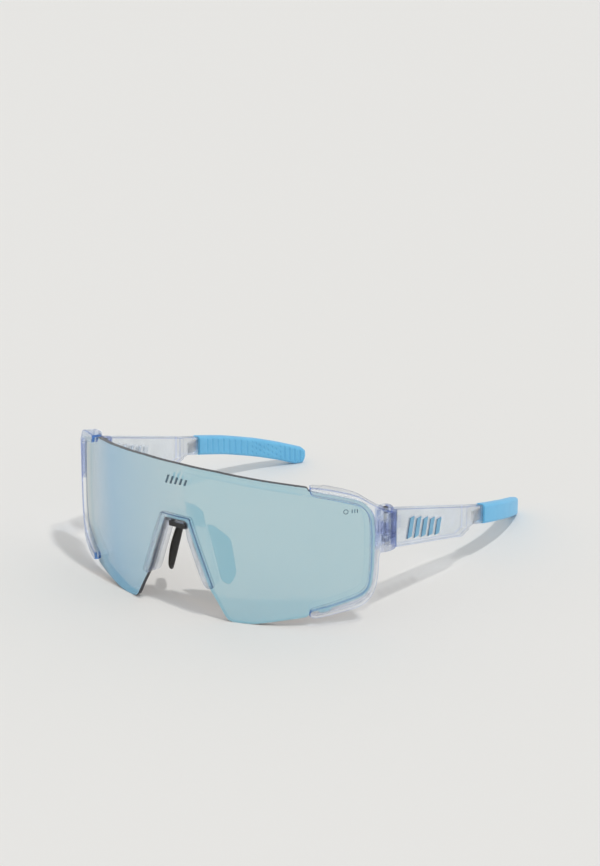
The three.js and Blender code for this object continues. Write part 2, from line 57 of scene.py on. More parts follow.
def joint_place(name):
    """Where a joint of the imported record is, in millimetres."""
    joint = next(j for j in frame["joints"] if j["name"] == name)
    return [value / MM for value in joint["pos_m"]]


HINGE_X, HINGE_Y, _ = joint_place("temple_left_fold")

LENS_RADIUS = 88.0
LENS_CROWN_RADIUS = 600.0
LENS_MID_HEIGHT = 30.0
LENS_APEX_Y = -82.1
LENS_THICKNESS = 2.0
FIT_GAP = 0.3
LENS_GRIP = 1.6

LIP_FRONT = 1.5
FRAME_REAR = -3.7
GROOVE_REAR = -(LENS_THICKNESS + FIT_GAP)
REAR_FLANGE_EXTRA = 1.5
POST_HALF_WIDTH = 2.0
CLIP_FRONT = 1.2
CLIP_REAR = -5.5

KNUCKLE_RADIUS = 2.8
KNUCKLE_RELIEF = 3.2
SLOT_RADIUS = 3.6
TONGUE_BOTTOM = 34.0
TONGUE_TOP = 39.0
HINGE_PLAY = 0.3
BUTT_Y = -39.5
BUTT_GAP = 0.4
LUG_TOP = 43.7
LUG_BOTTOM = 29.2
LUG_PEAK = 46.4
SCREW_HEAD_RADIUS = 1.3
SCREW_HEAD_HEIGHT = 1.1
SCREW_SHAFT_RADIUS = 0.75
SCREW_TOP = 43.5
SCREW_BOTTOM = 30.9
NUT_RADIUS = 1.5
NUT_BOTTOM = 29.6
NUT_TOP = 32.1
SMALL_GAP = 0.15

TEMPLE_OUTER_X = 71.0
TEMPLE_BEND_START = 20.0
TEMPLE_BEND_RADIUS = 115.0
PANEL_THICKNESS = 4.2
PANEL_END = 14.3
PANEL_FRONT_LOW = 28.2
STEM_OUTER = -0.6
STEM_INNER = -3.7
STEM_END = 24.8
SLEEVE_START = 25.2
SLEEVE_INNER = -4.3
CORE_HALF_THICKNESS = 0.45

BADGE_BARS = 5
BADGE_FIRST = -29.6
BADGE_PITCH = 4.9
BADGE_BAR_WIDTH = 2.9
BADGE_SLANT = 2.1
BADGE_CENTRE = 33.1
BADGE_FALL = 0.3
BADGE_TALLEST = 7.8
BADGE_SHRINK = 0.45
BADGE_LOW = -0.75
BADGE_HIGH = 0.4
BADGE_SEAT_LOW = -0.9

ANCHOR_START = 18.6
ANCHOR_END = 24.6
ANCHOR_LOW = 18.6
ANCHOR_HIGH = 23.4
ANCHOR_MIDDLE = -2.15
ANCHOR_TEETH = 4

STRAP_BOTTOM = 34.0
STRAP_TOP = 36.5
STRAP_FRONT_Y = -81.2
STRAP_BACK_Y = -79.2
ARM_OUTER = 4.3
ARM_INNER = 2.6
FLARE_START_Y = -76.3
ARM_END_Y = -72.6
ARM_END_OUTER = 6.4
ARM_END_INNER = 4.4
ARCH_FRONT = -5.6
ARCH_REAR = -7.0

PAD_CENTRE = np.array([10.6, -67.7, 20.6])
PAD_ACROSS = np.array([0.5, 0.866, 0.0])
PAD_UP = np.array([-0.2, 0.1155, 0.973])
PAD_THICKNESS = 2.6
PAD_HALF_LENGTH = 13.0

# the lens's flat outline and the hook's two edges, right half seen from the front
HOOK_INNER_EDGE = [
    (53.8, 52.9), (62.7, 50.9), (69.8, 49.0), (72.2, 47.9), (74.2, 46.4), (75.8, 43.3),
    (76.3, 37.0), (76.2, 29.1), (76.0, 23.0), (75.3, 16.7), (74.1, 14.4), (71.9, 12.8),
    (66.5, 11.1), (61.0, 9.3), (53.7, 7.4),
]
HOOK_OUTER_EDGE = [
    (53.0, 5.0), (54.5, 4.1), (56.3, 4.1), (63.4, 5.8), (68.5, 7.0), (72.1, 8.1), (74.7, 9.6),
    (76.8, 12.0), (78.2, 15.3), (79.0, 19.4), (79.4, 28.2), (80.4, 30.1), (82.6, 30.5),
    (82.6, 45.8), (80.0, 46.7), (78.0, 47.9), (75.2, 49.7), (73.1, 51.2), (70.9, 52.5),
    (66.5, 54.0), (59.9, 55.6), (54.0, 56.5), (53.0, 55.8),
]
LENS_TOP_EDGE = [(16.7, 59.3), (30.2, 58.2), (45.2, 56.7), (52.4, 55.8), (52.8, 54.5)]
LENS_LOW_EDGE = [
    (61.2, 6.8), (57.2, 5.7), (56.8, 6.9), (54.4, 6.4), (53.2, 5.3), (52.4, 4.1), (44.2, 2.6),
    (34.5, 0.6), (31.2, 0.0), (24.2, 0.0), (22.3, 0.4), (21.1, 1.5), (17.8, 7.2), (14.6, 12.3),
]
NOSE_CUT_TOP = (4.9, 37.9)
CLIP_INNER_HALF = [(13.2, 12.6), (11.5, 15.7), (5.7, 31.4), (4.65, 36.9)]
CLIP_OUTER_HALF = [(6.7, 39.6), (16.4, 13.6), (15.9, 12.6)]

# ---- Paths in the flat ----


def signed_area(path):
    points = np.array(path, float)
    following = np.roll(points, -1, axis=0)
    return 0.5 * np.sum(points[:, 0] * following[:, 1] - following[:, 0] * points[:, 1])


def anticlockwise(path):
    return list(path) if signed_area(path) > 0 else list(path)[::-1]


def mirrored_path(path):
    return [(-x, y) for x, y in path][::-1]


def smoothed(path, reach=3.0, rounds=3):
    """A closed path with its corners eased. A long edge keeps its middle straight."""
    points = []
    count = len(path)
    for i in range(count):
        start = np.array(path[i], float)
        end = np.array(path[(i + 1) % count], float)
        length = np.linalg.norm(end - start)
        points.append(start)
        if length > 2 * reach:
            step = (end - start) / length * reach
            points += [start + step, end - step]
    for _ in range(rounds):
        following = points[1:] + points[:1]
        points = [
            point
            for a, b in zip(points, following)
            for point in (a * 0.75 + b * 0.25, a * 0.25 + b * 0.75)
        ]
    return points


def offset_path(path, distance, closed=True):
    """The path moved to its left, which is inward on an anticlockwise one."""
    points = np.array(path, float)
    before = np.roll(points, 1, axis=0)
    after = np.roll(points, -1, axis=0)
    if not closed:
        before[0] = points[0] - (points[1] - points[0])
        after[-1] = points[-1] + (points[-1] - points[-2])
    incoming = points - before
    incoming /= np.linalg.norm(incoming, axis=1, keepdims=True)
    outgoing = after - points
    outgoing /= np.linalg.norm(outgoing, axis=1, keepdims=True)
    along = incoming + outgoing
    along /= np.linalg.norm(along, axis=1, keepdims=True)
    stretch = 1 / np.maximum(0.5, np.sum(along * incoming, axis=1))
    left = np.stack([-along[:, 1], along[:, 0]], axis=1)
    return [tuple(p) for p in points + left * (distance * stretch)[:, None]]


# ---- Bending the flat drawings into place ----


def onto_lens(points):
    along, height, forward = points.T
    rise = height - LENS_MID_HEIGHT
    crown = LENS_CROWN_RADIUS - np.sqrt(LENS_CROWN_RADIUS**2 - rise**2)
    radius = LENS_RADIUS + forward - crown
    angle = along / LENS_RADIUS
    depth = LENS_APEX_Y + LENS_RADIUS - radius * np.cos(angle)
    return np.stack([radius * np.sin(angle), depth, height], axis=1)


def onto_temple(points):
    along, height, outward = points.T
    past = np.maximum(0.0, along - TEMPLE_BEND_START) / TEMPLE_BEND_RADIUS
    radius = TEMPLE_BEND_RADIUS + outward
    centre = TEMPLE_OUTER_X - TEMPLE_BEND_RADIUS
    straight = np.minimum(along, TEMPLE_BEND_START)
    return np.stack(
        [centre + radius * np.cos(past), straight + radius * np.sin(past), height], axis=1
    )


def onto_pad(points):
    facing = np.cross(PAD_ACROSS, PAD_UP)
    across, up, out = points.T
    return (
        PAD_CENTRE
        + across[:, None] * PAD_ACROSS
        + up[:, None] * PAD_UP
        + out[:, None] * facing
    )


def sideways(points):
    """A prism drawn as (back, height), and extruded to the left."""
    return points[:, [2, 0, 1]]


def plan_to_temple(points):
    """A prism drawn as (outward, along the temple), and extruded upward."""
    return points[:, [1, 2, 0]]


# ---- Meshes ----


def solid(vertices, faces):
    mesh = bpy.data.meshes.new("piece")
    mesh.from_pydata([tuple(v) for v in vertices], [], faces)
    mesh.update()
    piece = bpy.data.objects.new("piece", mesh)
    bpy.context.scene.collection.objects.link(piece)
    return piece


def loft(rings):
    """A closed skin over rings of equal length."""
    count = len(rings[0])
    faces = [list(range(count))[::-1]]
    for i in range(len(rings) - 1):
        for j in range(count):
            following = (j + 1) % count
            low, high = i * count, (i + 1) * count
            faces.append([low + j, low + following, high + following, high + j])
    last = (len(rings) - 1) * count
    faces.append([last + j for j in range(count)])
    return solid(np.concatenate(rings), faces)


def rounding(radius, steps=4):
    """(inset, depth) pairs from the face of a rounded edge down to its side."""
    if radius == 0:
        return [(0.0, 0.0)]
    angles = [math.pi / 2 * k / steps for k in range(steps + 1)]
    return [(radius * (1 - math.sin(a)), radius * (1 - math.cos(a))) for a in angles]


def prism(path, low, high, low_round=0.0, high_round=0.0, steps=4):
    """The path's area between two levels, with its edges rounded."""
    path = anticlockwise(path)
    layers = [(low + depth, inset) for inset, depth in rounding(low_round, steps)]
    layers += [(high - depth, inset) for inset, depth in rounding(high_round, steps)][::-1]
    rings = []
    for level, inset in layers:
        ring = offset_path(path, inset) if inset > 0 else path
        rings.append(np.array([(x, y, level) for x, y in ring]))
    return loft(rings)


def box(x_range, y_range, z_range):
    (x0, x1), (y0, y1), (z0, z1) = x_range, y_range, z_range
    return prism([(x0, y0), (x1, y0), (x1, y1), (x0, y1)], z0, z1)


def circle(x, y, radius, sides=48):
    turns = [2 * math.pi * k / sides for k in range(sides)]
    return [(x + radius * math.cos(a), y + radius * math.sin(a)) for a in turns]


def post(radius, low, high, sides=48, rounded_by=0.0):
    """An upright cylinder on the left hinge's axis."""
    path = circle(HINGE_X, HINGE_Y, radius, sides)
    return prism(path, low, high, rounded_by, rounded_by)


def settle(piece):
    """Applies the piece's modifiers."""
    graph = bpy.context.evaluated_depsgraph_get()
    mesh = bpy.data.meshes.new_from_object(piece.evaluated_get(graph))
    piece.modifiers.clear()
    piece.data = mesh
    return piece


def discard(piece):
    bpy.data.objects.remove(piece)


def combine(first, others, operation):
    for other in others:
        change = first.modifiers.new("combine", "BOOLEAN")
        change.operation = operation
        change.solver = "MANIFOLD"
        change.object = other
        settle(first)
        discard(other)
    return first


def join(first, *others):
    return combine(first, others, "UNION")


def cut(first, *others):
    return combine(first, others, "DIFFERENCE")


def coordinates(piece):
    flat = np.empty(len(piece.data.vertices) * 3, np.float32)
    piece.data.vertices.foreach_get("co", flat)
    return flat.reshape(-1, 3).astype(float)


def place(piece, mapping):
    """Moves every vertex by the mapping, which takes and gives an array of points."""
    piece.data.vertices.foreach_set("co", mapping(coordinates(piece)).astype(np.float32).ravel())
    piece.data.update()
    return piece


def cut_by_planes(piece, axis, step):
    """Cuts the faces along evenly spaced planes, so that they bend smoothly."""
    levels = coordinates(piece)[:, axis]
    normal = Vector((0, 0, 0))
    normal[axis] = 1
    mesh = bmesh.new()
    mesh.from_mesh(piece.data)
    for k in range(math.ceil(levels.min() / step), math.floor(levels.max() / step) + 1):
        geometry = mesh.verts[:] + mesh.edges[:] + mesh.faces[:]
        bmesh.ops.bisect_plane(mesh, geom=geometry, plane_co=normal * k * step, plane_no=normal)
    mesh.to_mesh(piece.data)
    mesh.free()
    return piece


def bent(piece, mapping, along_step=2.0, height_step=3.0):
    cut_by_planes(piece, 0, along_step)
    if height_step:
        cut_by_planes(piece, 1, height_step)
    return place(piece, mapping)


def mirrored(piece):
    """A mirror-image copy, on the wearer's right."""
    copy = piece.copy()
    copy.data = piece.data.copy()
    bpy.context.scene.collection.objects.link(copy)
    place(copy, lambda points: points * np.array([-1.0, 1.0, 1.0]))
    copy.data.flip_normals()
    return copy


def shade_smooth(piece, sharp_angle):
    piece.data.shade_smooth()
    piece.data.set_sharp_from_angle(angle=math.radians(sharp_angle))
    weigh = piece.modifiers.new("normals", "WEIGHTED_NORMAL")
    weigh.keep_sharp = True
    weigh.weight = 90
    settle(piece)


def finish_piece(piece, name, body, nodes, materials, sharp_angle=32):
    """Scales the piece to metres, shades it and fixes it to its CAD body."""
    place(piece, lambda points: points * MM)
    piece.name = name
    piece.data.name = name
    if materials:
        piece.data.materials.clear()
    for material in materials:
        piece.data.materials.append(material)
    shade_smooth(piece, sharp_angle)
    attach(piece, body)
    if nodes:
        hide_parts(*nodes)
    return piece


def finish_pair(piece, name, body, node, materials, sharp_angle=32):
    """Finishes a left piece and its mirrored twin."""
    twin = mirrored(piece)
    pair = []
    for side, item in (("left", piece), ("right", twin)):
        riding = body if body == "front" else f"{body}_{side}"
        done = finish_piece(
            item, f"{name}_{side}", riding, [f"{node}_{side}"], materials, sharp_angle
        )
        pair.append(done)
    return pair


# ---- Material nodes ----


class Nodes:
    """A short way to add linked shader nodes to one material or world."""

    def __init__(self, owner):
        owner.use_nodes = True
        self.tree = owner.node_tree
        self.tree.nodes.clear()

    def add(self, kind, values=None, **settings):
        node = self.tree.nodes.new(kind)
        for setting, value in settings.items():
            setattr(node, setting, value)
        for socket, value in (values or {}).items():
            self.set(node, socket, value)
        return node

    def set(self, node, socket, value):
        target = node.inputs[socket]
        if isinstance(value, bpy.types.NodeSocket):
            self.tree.links.new(value, target)
        else:
            target.default_value = value

    def noise(self, scale, detail=3.0, roughness=0.5, stretch=(1, 1, 1)):
        """Noise over the object's own space; scale counts patches per metre."""
        where = self.add("ShaderNodeTexCoord")
        mapping = self.add(
            "ShaderNodeMapping", {"Vector": where.outputs["Object"], "Scale": stretch}
        )
        node = self.add(
            "ShaderNodeTexNoise",
            {
                "Vector": mapping.outputs["Vector"],
                "Scale": scale,
                "Detail": detail,
                "Roughness": roughness,
            },
        )
        return node.outputs["Fac"]

    def spread(self, value, low, high, from_low=0.3, from_high=0.7):
        node = self.add(
            "ShaderNodeMapRange",
            {
                "Value": value,
                "From Min": from_low,
                "From Max": from_high,
                "To Min": low,
                "To Max": high,
            },
        )
        return node.outputs["Result"]

    def blend(self, factor, first, second):
        node = self.add("ShaderNodeMix", data_type="RGBA")
        self.set(node, 0, factor)
        self.set(node, 6, first)
        self.set(node, 7, second)
        return node.outputs[2]

    def maths(self, operation, first, second=0.0):
        node = self.add("ShaderNodeMath", {0: first, 1: second}, operation=operation)
        return node.outputs["Value"]

    def vectors(self, operation, first, second=(0.0, 0.0, 0.0), output="Vector"):
        node = self.add("ShaderNodeVectorMath", {0: first, 1: second}, operation=operation)
        return node.outputs[output]

    def bump(self, height, distance, strength=1.0):
        node = self.add(
            "ShaderNodeBump", {"Height": height, "Distance": distance, "Strength": strength}
        )
        return node.outputs["Normal"]

    def mix_shaders(self, factor, first, second):
        node = self.add("ShaderNodeMixShader")
        self.set(node, 0, factor)
        self.set(node, 1, first)
        self.set(node, 2, second)
        return node.outputs["Shader"]

    def output(self, surface, volume=None):
        node = self.add("ShaderNodeOutputMaterial", {"Surface": surface})
        if volume is not None:
            self.set(node, "Volume", volume)


def new_material(name):
    material = bpy.data.materials.new(name)
    return material, Nodes(material)


def colour(red, green, blue):
    """A linear colour from the 0 to 255 values a screen shows."""
    linear = []
    for value in (red, green, blue):
        share = value / 255
        linear.append(share / 12.92 if share <= 0.04045 else ((share + 0.055) / 1.055) ** 2.4)
    return (*linear, 1.0)


# ---- Materials ----


def lens_axis_outward(nodes):
    """The level direction away from the axis that the lens curves round."""
    centre = (0.0, (LENS_APEX_Y + LENS_RADIUS) * MM, 0.0)
    where = nodes.add("ShaderNodeTexCoord").outputs["Object"]
    level = nodes.vectors("MULTIPLY", nodes.vectors("SUBTRACT", where, centre), (1.0, 1.0, 0.0))
    return nodes.vectors("NORMALIZE", level)


def facing_along(nodes, direction):
    """How far the surface's own normal lies along a direction, either way."""
    normal = nodes.add("ShaderNodeTexCoord").outputs["Normal"]
    return nodes.maths("ABSOLUTE", nodes.vectors("DOT_PRODUCT", normal, direction, "Value"))


def painted_outline_mask(nodes, curved):
    """1 on the rounded edges between a sheet's broad faces and its rim, 0 elsewhere: where a dark
    reflection is painted as an outline.
    """
    outward = lens_axis_outward(nodes) if curved else (1.0, 0.0, 0.0)
    along = facing_along(nodes, outward)
    off_rim = nodes.spread(along, 0.0, 1.0, 0.08, 0.3)
    off_broad = nodes.spread(along, 1.0, 0.0, 0.86, 0.97)
    return nodes.maths("MULTIPLY", off_rim, off_broad)


def own_place(nodes):
    """The shaded point's X, Y and Z in the piece's own space, in metres."""
    where = nodes.add("ShaderNodeTexCoord").outputs["Object"]
    return nodes.add("ShaderNodeSeparateXYZ", {"Vector": where}).outputs


def lug_seen_edge_on(nodes):
    """1 where a face of the hinge lugs is seen almost edge-on, 0 elsewhere: where deep blue is painted
    for light seen lengthwise through the plastic.
    """
    fade = 0.8 * MM
    low = LUG_BOTTOM * MM
    high = LUG_PEAK * MM
    facing = nodes.add("ShaderNodeLayerWeight", {"Blend": 0.5}).outputs["Facing"]
    height = own_place(nodes)["Z"]
    above = nodes.spread(height, 0.0, 1.0, low, low + fade)
    below = nodes.spread(height, 1.0, 0.0, high - fade, high)
    edge_on = nodes.spread(facing, 0.0, 1.0, 0.72, 0.9)
    return nodes.maths("MULTIPLY", edge_on, nodes.maths("MULTIPLY", above, below))


def hook_ends(nodes):
    """1 on the end faces of the four hooks, 0 elsewhere: where deep blue is painted for light seen along
    the hooks.
    """
    top_hooks = (51.5 * MM, 52.5 * MM)
    low_hooks = (7.5 * MM, 8.5 * MM)
    tip = HOOK_OUTER_EDGE[0][0] / LENS_RADIUS
    starts = (tip - 0.012, tip - 0.006)
    ends = (tip + 0.012, tip + 0.02)
    at = own_place(nodes)
    forward = nodes.maths("SUBTRACT", (LENS_APEX_Y + LENS_RADIUS) * MM, at["Y"])
    angle = nodes.maths("ABSOLUTE", nodes.maths("ARCTAN2", at["X"], forward))
    past_tip = nodes.spread(angle, 0.0, 1.0, *starts)
    before_bend = nodes.spread(angle, 1.0, 0.0, *ends)
    along_lens = nodes.vectors("CROSS_PRODUCT", lens_axis_outward(nodes), (0.0, 0.0, 1.0))
    end_on = nodes.spread(facing_along(nodes, along_lens), 0.0, 1.0, 0.4, 0.7)
    along = nodes.maths("MULTIPLY", end_on, nodes.maths("MULTIPLY", past_tip, before_bend))
    high = nodes.spread(at["Z"], 0.0, 1.0, *top_hooks)
    low = nodes.spread(at["Z"], 1.0, 0.0, *low_hooks)
    return nodes.maths("MULTIPLY", along, nodes.maths("MAXIMUM", high, low))


def clear_plastic(name, density, shadow, line, curved=False, painted_blue_parts=()):
    """Clear moulded plastic: polished, with violet-blue lines painted along its rounded edges as dark
    reflection, and deep blue painted where it is seen lengthwise, for the light passed along it.
    """
    clear = (0.982, 0.988, 0.995, 1)
    painted_see_through_blue = (0.07, 0.24, 0.68, 1)
    material, nodes = new_material(name)
    polish = nodes.noise(420.0, 4.0)
    waves = nodes.noise(130.0, 2.0)
    # painted reflection: the outline colour is painted on the rounded edges
    tint = nodes.blend(painted_outline_mask(nodes, curved), clear, line)
    # painted light: deep blue where the plastic is seen lengthwise
    for painted_blue_part in painted_blue_parts:
        tint = nodes.blend(painted_blue_part(nodes), tint, painted_see_through_blue)
    body = nodes.add(
        "ShaderNodeBsdfPrincipled",
        {
            "Base Color": tint,
            "Roughness": nodes.spread(polish, 0.015, 0.06),
            "IOR": 1.43,
            "Transmission Weight": 1.0,
            "Normal": nodes.bump(waves, 0.00002, 0.35),
        },
    )
    straight = nodes.add("ShaderNodeBsdfTransparent", {"Color": tint})
    seen = nodes.mix_shaders(
        nodes.spread(waves, 0.50, 0.60), body.outputs["BSDF"], straight.outputs["BSDF"]
    )
    light = nodes.add("ShaderNodeLightPath")
    passing = nodes.add("ShaderNodeBsdfTransparent", {"Color": shadow})
    surface = nodes.mix_shaders(light.outputs["Is Shadow Ray"], seen, passing.outputs["BSDF"])
    depth = nodes.add(
        "ShaderNodeVolumeAbsorption", {"Color": (0.0, 0.49, 0.943, 1), "Density": density}
    )
    nodes.output(surface, depth.outputs["Volume"])
    return material


def lens_mirror():
    """Ice-blue mirror coat over smoke: mostly a tinted reflection, a little see-through."""
    oblique_tint = (0.255, 0.495, 0.69, 1)
    grazing_tint = (0.64, 0.68, 0.66, 1)
    material, nodes = new_material("lens_mirror")
    haze = nodes.noise(90.0, 5.0, 0.6)
    flecks = nodes.noise(1400.0, 2.0)
    facing = nodes.add("ShaderNodeLayerWeight", {"Blend": 0.32}).outputs["Facing"]
    oblique = nodes.spread(facing, 0.0, 1.0, 0.12, 0.42)
    grazing = nodes.spread(facing, 0.0, 1.0, 0.40, 0.76)
    tint = nodes.blend(haze, (0.335, 0.60, 0.715, 1), (0.35, 0.61, 0.72, 1))
    tint = nodes.blend(oblique, tint, oblique_tint)
    tint = nodes.blend(grazing, tint, grazing_tint)
    mirror = nodes.add(
        "ShaderNodeBsdfAnisotropic",
        {
            "Color": tint,
            "Roughness": nodes.spread(haze, 0.045, 0.075),
            "Normal": nodes.bump(flecks, 0.000004, 0.3),
        },
        distribution="MULTI_GGX",
    )
    passed = nodes.blend(oblique, (0.50, 0.32, 0.20, 1), (0.46, 0.34, 0.26, 1))
    through = nodes.add("ShaderNodeBsdfTransparent", {"Color": passed})
    both = nodes.add("ShaderNodeAddShader")
    nodes.set(both, 0, mirror.outputs["BSDF"])
    nodes.set(both, 1, through.outputs["BSDF"])
    nodes.output(both.outputs["Shader"])
    return material


def lens_back():
    """The inside of the lens: polished smoke with a weak reflection."""
    material, nodes = new_material("lens_back")
    haze = nodes.noise(110.0, 4.0)
    edge = nodes.add("ShaderNodeFresnel", {"IOR": 1.58})
    gloss = nodes.add(
        "ShaderNodeBsdfAnisotropic",
        {"Color": (0.75, 0.8, 0.85, 1), "Roughness": nodes.spread(haze, 0.04, 0.08)},
        distribution="MULTI_GGX",
    )
    through = nodes.add("ShaderNodeBsdfTransparent", {"Color": (0.42, 0.40, 0.38, 1)})
    nodes.output(
        nodes.mix_shaders(edge.outputs["Fac"], through.outputs["BSDF"], gloss.outputs["BSDF"])
    )
    return material


def lens_edge(name, dark, light):
    """The sawn and polished edge of the lens."""
    material, nodes = new_material(name)
    strokes = nodes.noise(900.0, 3.0, 0.5, (1, 1, 0.15))
    body = nodes.add(
        "ShaderNodeBsdfPrincipled",
        {
            "Base Color": nodes.blend(strokes, dark, light),
            "Roughness": nodes.spread(strokes, 0.22, 0.42),
            "Normal": nodes.bump(strokes, 0.00003, 0.5),
        },
    )
    nodes.output(body.outputs["BSDF"])
    return material


def rubber(name, dark, light, grain, roughness, sheen):
    """Moulded soft rubber: matte, slightly mottled, with a fine grain."""
    material, nodes = new_material(name)
    mottle = nodes.noise(160.0, 4.0, 0.6)
    fine = nodes.noise(grain, 3.0, 0.6)
    body = nodes.add(
        "ShaderNodeBsdfPrincipled",
        {
            "Base Color": nodes.blend(nodes.spread(mottle, 0.0, 1.0), dark, light),
            "Roughness": nodes.spread(fine, roughness - 0.07, roughness + 0.07),
            "Sheen Weight": sheen,
            "Sheen Roughness": 0.5,
            "Normal": nodes.bump(fine, 0.00005, 0.5),
        },
    )
    nodes.output(body.outputs["BSDF"])
    return material


def painted(name, dark, light):
    """Satin moulded colour with a faint grain."""
    material, nodes = new_material(name)
    mottle = nodes.noise(300.0, 3.0)
    fine = nodes.noise(2600.0, 2.0)
    body = nodes.add(
        "ShaderNodeBsdfPrincipled",
        {
            "Base Color": nodes.blend(nodes.spread(mottle, 0.0, 1.0), dark, light),
            "Roughness": nodes.spread(fine, 0.3, 0.45),
            "Coat Weight": 0.15,
            "Normal": nodes.bump(fine, 0.00002, 0.3),
        },
    )
    nodes.output(body.outputs["BSDF"])
    return material


def metal(name, dark, light, roughness, stretch):
    """Drawn or turned metal, with marks along one direction."""
    material, nodes = new_material(name)
    streaks = nodes.noise(700.0, 5.0, 0.65, stretch)
    body = nodes.add(
        "ShaderNodeBsdfPrincipled",
        {
            "Base Color": nodes.blend(nodes.spread(streaks, 0.0, 1.0), dark, light),
            "Metallic": 1.0,
            "Roughness": nodes.spread(streaks, roughness - 0.1, roughness + 0.12),
            "Normal": nodes.bump(streaks, 0.00003, 0.4),
        },
    )
    nodes.output(body.outputs["BSDF"])
    return material


def floor_material():
    material, nodes = new_material("floor_paper")
    broad = nodes.noise(1.3, 2.0)
    fine = nodes.noise(900.0, 2.0)
    body = nodes.add(
        "ShaderNodeBsdfPrincipled",
        {
            "Base Color": nodes.blend(broad, (0.815, 0.812, 0.80, 1), (0.83, 0.827, 0.815, 1)),
            "Roughness": 0.85,
            "Specular IOR Level": 0.1,
            "Normal": nodes.bump(fine, 0.00003, 0.15),
        },
    )
    nodes.output(body.outputs["BSDF"])
    return material


# ---- Lens ----


def lens_outline(grown=0.0):
    """The whole lens edge in the flat, anticlockwise, grown outward on every side."""
    gripped = offset_path(HOOK_INNER_EDGE, LENS_GRIP, closed=False)[1:-1]
    half = LENS_TOP_EDGE + gripped + LENS_LOW_EDGE + [NOSE_CUT_TOP]
    whole = anticlockwise(half + mirrored_path(half) + [(0.0, 59.7)])
    return offset_path(smoothed(whole, 2.4), -grown)


def make_lens():
    flat = prism(lens_outline(), -LENS_THICKNESS, 0.0, 0.12, 0.12, 2)
    cut_by_planes(flat, 0, 2.0)
    cut_by_planes(flat, 1, 2.5)
    lens = flat.data
    bare_edge = lens_edge("bare_lens_edge", (0.012, 0.014, 0.02, 1), (0.05, 0.055, 0.07, 1))
    held_edge = lens_edge("held_lens_edge", (0.22, 0.30, 0.38, 1), (0.32, 0.40, 0.47, 1))
    for material in (lens_mirror(), lens_back(), bare_edge, held_edge):
        lens.materials.append(material)
    for face in lens.polygons:
        if face.normal.z > 0.9:
            face.material_index = 0
        elif face.normal.z < -0.9:
            face.material_index = 1
        elif abs(face.center.x) < HOOK_INNER_EDGE[0][0]:
            face.material_index = 2
        else:
            face.material_index = 3
    place(flat, onto_lens)
    finish_piece(flat, "shield_lens", "front", ["lens"], [])


# ---- Clear front frame ----


def hook():
    """One hooked bracket in the flat: front lip, web beyond the lens edge, rear flange."""
    grip = LENS_GRIP + FIT_GAP
    groove_edge = offset_path(HOOK_INNER_EDGE, grip, closed=False)
    flange_edge = offset_path(HOOK_INNER_EDGE, -REAR_FLANGE_EXTRA, closed=False)
    lip = smoothed(HOOK_OUTER_EDGE + HOOK_INNER_EDGE)
    web = smoothed(HOOK_OUTER_EDGE + groove_edge)
    flange = smoothed(HOOK_OUTER_EDGE + flange_edge)
    return join(
        prism(lip, FIT_GAP, LIP_FRONT, high_round=0.6),
        prism(web, GROOVE_REAR - 0.4, FIT_GAP + 0.3),
        prism(flange, FRAME_REAR, GROOVE_REAR, low_round=0.6),
    )


def brow_bar():
    top = [(0.0, 57.9), (16.6, 57.6), (29.8, 56.5), (45.0, 55.0), (58.0, 53.0)]
    low = [(58.0, 50.9), (39.2, 53.2), (29.6, 54.2), (18.3, 55.1), (3.0, 55.5)]
    half = top + low
    whole = half + mirrored_path(half[1:])
    return prism(smoothed(whole, 2.0), FRAME_REAR, GROOVE_REAR, 0.5, 0.3)


def bridge_saddle():
    """The centre post, filleted into the bar above and the saddle below it."""
    half = [
        (4.6, 56.4), (2.6, 55.0), (POST_HALF_WIDTH, 53.0), (POST_HALF_WIDTH, 45.0), (2.6, 44.3),
        (5.2, 43.7), (8.4, 42.5), (10.0, 40.3), (12.2, 35.6), (15.2, 23.0), (17.4, 14.8),
        (15.6, 13.0), (14.6, 12.8), NOSE_CUT_TOP,
    ]
    whole = half + mirrored_path(half)
    return prism(smoothed(whole, 1.6), FRAME_REAR, GROOVE_REAR - 0.05, 0.5, 0.3)


def hinge_lug():
    """The block that carries the hinge fork, in its real place."""
    rear = BUTT_Y - BUTT_GAP
    plan = [
        (69.6, -50.2), (71.6, -47.8), (72.6, -45.6), (72.9, -43.2), (71.4, rear),
        (HINGE_X, rear), (63.6, -41.0), (64.6, -43.6), (66.0, -46.6),
    ]
    above = [
        (-62, 52), (-48.6, 45.75), (-45.5, 44.6), (-42.5, 43.75), (-30, LUG_TOP), (-30, 60),
        (-62, 60),
    ]
    lug = prism(smoothed(plan, 1.0, 2), LUG_BOTTOM, LUG_PEAK, 0.5)
    lug = join(lug, post(KNUCKLE_RADIUS, LUG_BOTTOM, LUG_TOP, 48, 0.25))
    return cut(lug, place(prism(above, 50, 90), sideways))


def fork_cuts():
    """The tongue's slot, the screw's bore and seat, and the nut's pocket."""
    low = TONGUE_BOTTOM - HINGE_PLAY
    high = TONGUE_TOP + HINGE_PLAY
    under = LUG_BOTTOM - 1
    over = LUG_TOP + 1
    seat = SCREW_TOP - SCREW_HEAD_HEIGHT - SMALL_GAP
    return [
        post(SLOT_RADIUS, low, high),
        box((HINGE_X - 6, HINGE_X), (HINGE_Y - 2.0, HINGE_Y + 6), (low, high)),
        box((HINGE_X, HINGE_X + 6), (BUTT_Y - 1.2, HINGE_Y + 6), (low, high)),
        post(SCREW_SHAFT_RADIUS + SMALL_GAP, under, over, 32),
        post(SCREW_HEAD_RADIUS + SMALL_GAP, seat, over, 32),
        post(NUT_RADIUS + SMALL_GAP, under, NUT_TOP + SMALL_GAP, 6),
    ]


def swing_space():
    """Where the temple's end swings, behind the lug."""
    low = LUG_BOTTOM - 10
    high = LUG_PEAK + 10
    butt = BUTT_Y - BUTT_GAP
    behind = box((HINGE_X - 4, HINGE_X + 14), (butt, butt + 20), (low, high))
    return cut(behind, post(KNUCKLE_RADIUS + 0.02, low, high))


